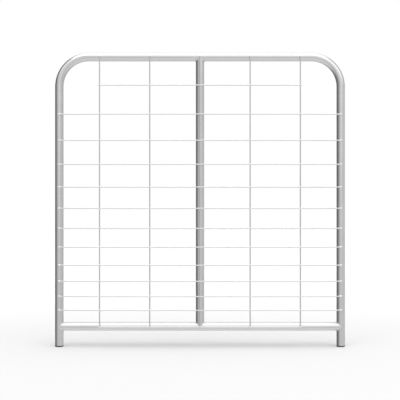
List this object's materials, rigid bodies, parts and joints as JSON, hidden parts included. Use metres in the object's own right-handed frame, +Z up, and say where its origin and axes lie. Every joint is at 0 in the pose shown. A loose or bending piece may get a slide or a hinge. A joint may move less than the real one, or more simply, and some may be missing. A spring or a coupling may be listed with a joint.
{
  "type": "livestock panel gate",
  "caption": "Round-tube livestock gate with bent top corners, a centre stay, a low bottom rail and a graduated welded-wire panel on its front, standing on capped legs.",
  "frame": {"origin": "on the floor, in the middle of the gate's width and of its front-to-back thickness", "axes": "+Z up, +X to the right as seen from the wire-panel side, -Y towards the wire-panel side"},
  "size_m": [1.1786, 0.044, 1.194],
  "materials": {
    "tube_zinc": "satin hot-dip galvanised steel, faint zinc mottle",
    "wire_zinc": "bright drawn galvanised wire",
    "cap_plastic": "black moulded plastic, finely grained"
  },
  "bodies": {
    "root": {"frame_hoop": "tube_zinc", "bottom_rail": "tube_zinc", "centre_stay": "tube_zinc", "foot_cap_left": "cap_plastic", "foot_cap_right": "cap_plastic", "stay_wire_1": "wire_zinc", "stay_wire_2": "wire_zinc", "stay_wire_3": "wire_zinc", "stay_wire_4": "wire_zinc", "stay_wire_5": "wire_zinc", "line_wire_01": "wire_zinc", "line_wire_02": "wire_zinc", "line_wire_03": "wire_zinc", "line_wire_04": "wire_zinc", "line_wire_05": "wire_zinc", "line_wire_06": "wire_zinc", "line_wire_07": "wire_zinc", "line_wire_08": "wire_zinc", "line_wire_09": "wire_zinc", "line_wire_10": "wire_zinc", "line_wire_11": "wire_zinc", "line_wire_12": "wire_zinc", "line_wire_13": "wire_zinc"}
  },
  "joints": []
}
